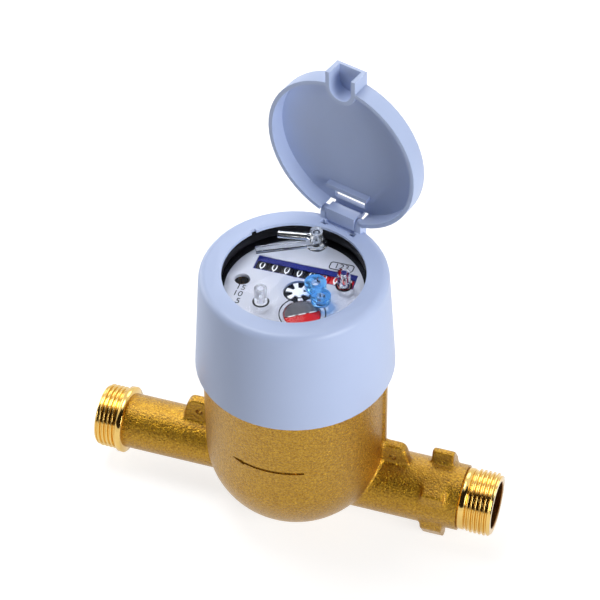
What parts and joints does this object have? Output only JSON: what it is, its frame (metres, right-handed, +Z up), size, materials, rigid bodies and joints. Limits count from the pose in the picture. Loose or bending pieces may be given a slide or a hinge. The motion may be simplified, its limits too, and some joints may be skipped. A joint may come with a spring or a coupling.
{
  "type": "water meter",
  "caption": "Cold water meter with a cast brass body, threaded pipe ends, a rotary piston chamber, a dry drum register and a plastic shroud with a hinged lid standing open.",
  "frame": {"origin": "centre of the flat foot under the bowl, 19 mm below the pipe axis", "axes": "+X along the pipe towards the inlet end, +Z up through the register, -Y the side that the flow arrow is on"},
  "size_m": [0.17, 0.0872, 0.1978],
  "materials": {
    "cast_brass": "sand cast",
    "machined_brass": "turned",
    "shroud_plastic": "satin moulded",
    "dial_face": "printed",
    "white_plastic": "moulded",
    "grey_plastic": "moulded",
    "black_plastic": "moulded",
    "red_plastic": "printed",
    "red_drum": "moulded",
    "clear_plastic": "clear moulded",
    "blue_plastic": "translucent moulded",
    "steel": "drawn",
    "seal_rubber": "moulded"
  },
  "bodies": {
    "meter": {"body_casting": "cast_brass", "inlet_strainer": "grey_plastic", "chamber_base": "white_plastic", "partition_plate": "steel", "chamber_cover": "white_plastic", "body_seal": "seal_rubber", "pressure_plate": "machined_brass", "clamp_ring": "machined_brass", "register_cup": "black_plastic", "gear_plate": "machined_brass", "counter_frame": "steel", "counter_shaft": "steel", "dial_plate": "dial_face", "register_glass": "clear_plastic", "holding_ring": "black_plastic", "module_clip": "blue_plastic", "shroud": "shroud_plastic", "hinge_pin": "steel"},
    "lid": {"lid": "shroud_plastic"},
    "wiper": {"wiper": "clear_plastic"},
    "drive": {"drive_magnet": "black_plastic"},
    "piston": {"rotary_piston": "grey_plastic"},
    "spindle": {"follower_magnet": "black_plastic", "star_wheel": "white_plastic"},
    "pulse": {"pulse_gear": "white_plastic", "pulse_disc": "red_plastic"},
    "drum_1": {"number_drum_1": "black_plastic"},
    "drum_2": {"number_drum_2": "black_plastic"},
    "drum_3": {"number_drum_3": "black_plastic"},
    "drum_4": {"number_drum_4": "black_plastic"},
    "drum_5": {"number_drum_5": "black_plastic"},
    "drum_6": {"number_drum_6": "red_drum"},
    "drum_7": {"number_drum_7": "red_drum"},
    "drum_8": {"number_drum_8": "red_drum"}
  },
  "joints": [
    {"name": "lid_hinge", "type": "hinge", "parent": "meter", "child": "lid", "pos_m": [0.0096, 0.03262, 0.1273], "axis": [0.9593, -0.2823, 0], "range_deg": [0, 90]},
    {"name": "wiper_swing", "type": "hinge", "parent": "meter", "child": "wiper", "pos_m": [0.0015, 0.0235, 0.1183], "axis": [0, 0, 1], "range_deg": [0, 58]},
    {"name": "drive_spin", "type": "hinge", "parent": "meter", "child": "drive", "pos_m": [0.002, -0.0012, 0.0665], "axis": [0, 0, 1], "continuous": true},
    {"name": "piston_orbit", "type": "hinge", "parent": "drive", "child": "piston", "pos_m": [0.002, -0.0052, 0.0665], "axis": [0, 0, 1], "continuous": true},
    {"name": "spindle_spin", "type": "hinge", "parent": "meter", "child": "spindle", "pos_m": [0.002, -0.0012, 0.1], "axis": [0, 0, 1], "continuous": true},
    {"name": "pulse_spin", "type": "hinge", "parent": "meter", "child": "pulse", "pos_m": [0.0073, -0.0123, 0.1], "axis": [0, 0, 1], "continuous": true},
    {"name": "drum_1_spin", "type": "hinge", "parent": "meter", "child": "drum_1", "pos_m": [-0.01593, 0.0099, 0.108], "axis": [1, 0, 0], "continuous": true},
    {"name": "drum_2_spin", "type": "hinge", "parent": "meter", "child": "drum_2", "pos_m": [-0.01098, 0.0099, 0.108], "axis": [1, 0, 0], "continuous": true},
    {"name": "drum_3_spin", "type": "hinge", "parent": "meter", "child": "drum_3", "pos_m": [-0.00602, 0.0099, 0.108], "axis": [1, 0, 0], "continuous": true},
    {"name": "drum_4_spin", "type": "hinge", "parent": "meter", "child": "drum_4", "pos_m": [-0.00108, 0.0099, 0.108], "axis": [1, 0, 0], "continuous": true},
    {"name": "drum_5_spin", "type": "hinge", "parent": "meter", "child": "drum_5", "pos_m": [0.00387, 0.0099, 0.108], "axis": [1, 0, 0], "continuous": true},
    {"name": "drum_6_spin", "type": "hinge", "parent": "meter", "child": "drum_6", "pos_m": [0.00882, 0.0099, 0.108], "axis": [1, 0, 0], "continuous": true},
    {"name": "drum_7_spin", "type": "hinge", "parent": "meter", "child": "drum_7", "pos_m": [0.01378, 0.0099, 0.108], "axis": [1, 0, 0], "continuous": true},
    {"name": "drum_8_spin", "type": "hinge", "parent": "meter", "child": "drum_8", "pos_m": [0.01872, 0.0099, 0.108], "axis": [1, 0, 0], "continuous": true}
  ],
  "couplings": [
    {"joint": "piston_orbit", "follows": "drive_spin", "ratio": -1},
    {"joint": "spindle_spin", "follows": "drive_spin", "ratio": 1},
    {"joint": "pulse_spin", "follows": "drive_spin", "ratio": -0.32258},
    {"joint": "drum_8_spin", "follows": "drive_spin", "ratio": 0.1},
    {"joint": "drum_7_spin", "follows": "drive_spin", "ratio": 0.01},
    {"joint": "drum_6_spin", "follows": "drive_spin", "ratio": 0.001},
    {"joint": "drum_5_spin", "follows": "drive_spin", "ratio": 0.0001},
    {"joint": "drum_4_spin", "follows": "drive_spin", "ratio": 0.00001},
    {"joint": "drum_3_spin", "follows": "drive_spin", "ratio": 0.000001},
    {"joint": "drum_2_spin", "follows": "drive_spin", "ratio": 0.0000001},
    {"joint": "drum_1_spin", "follows": "drive_spin", "ratio": 0.00000001}
  ]
}
